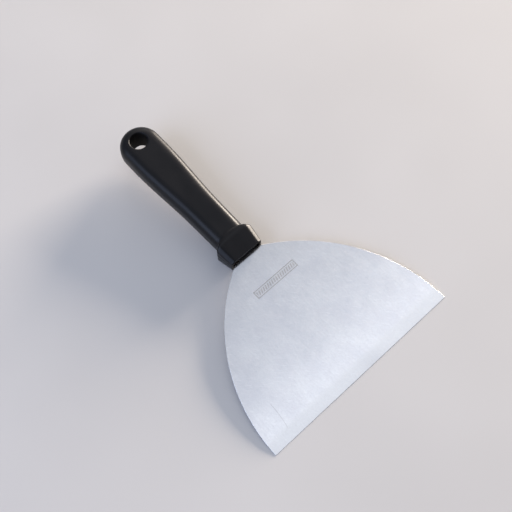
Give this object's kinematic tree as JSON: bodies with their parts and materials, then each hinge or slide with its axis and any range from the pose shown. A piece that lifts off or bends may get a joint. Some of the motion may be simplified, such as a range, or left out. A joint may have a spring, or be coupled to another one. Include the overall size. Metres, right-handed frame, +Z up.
{
  "type": "flexible putty knife",
  "caption": "Wide flexible putty knife: a fan-shaped sheet-steel blade with a straight ground edge, in a black moulded handle with a collar and a hanging hole.",
  "frame": {"origin": "middle of the bounding box in plan, on the surface that the knife lies on", "axes": "+X across the blade, along its ground edge; +Y along the knife, from the ground edge to the butt of the handle; +Z up, as the knife lies at rest on its edge and on the underside of its collar"},
  "size_m": [0.152, 0.2358, 0.0277],
  "materials": {
    "blade_steel": "fine lengthwise brushing, satin",
    "handle_plastic": "fine moulded grain, semi-matt, polished by use on its shoulders",
    "plug_plastic": "smooth moulding, semi-matt",
    "core_plastic": "unpolished moulding",
    "rivet_metal": "plain"
  },
  "bodies": {
    "root": {"blade": "blade_steel", "grip_shell": "handle_plastic", "collar_plug": "plug_plastic", "tang_core_top": "core_plastic", "tang_core_bottom": "core_plastic", "tang_rivets": "rivet_metal"}
  },
  "joints": []
}
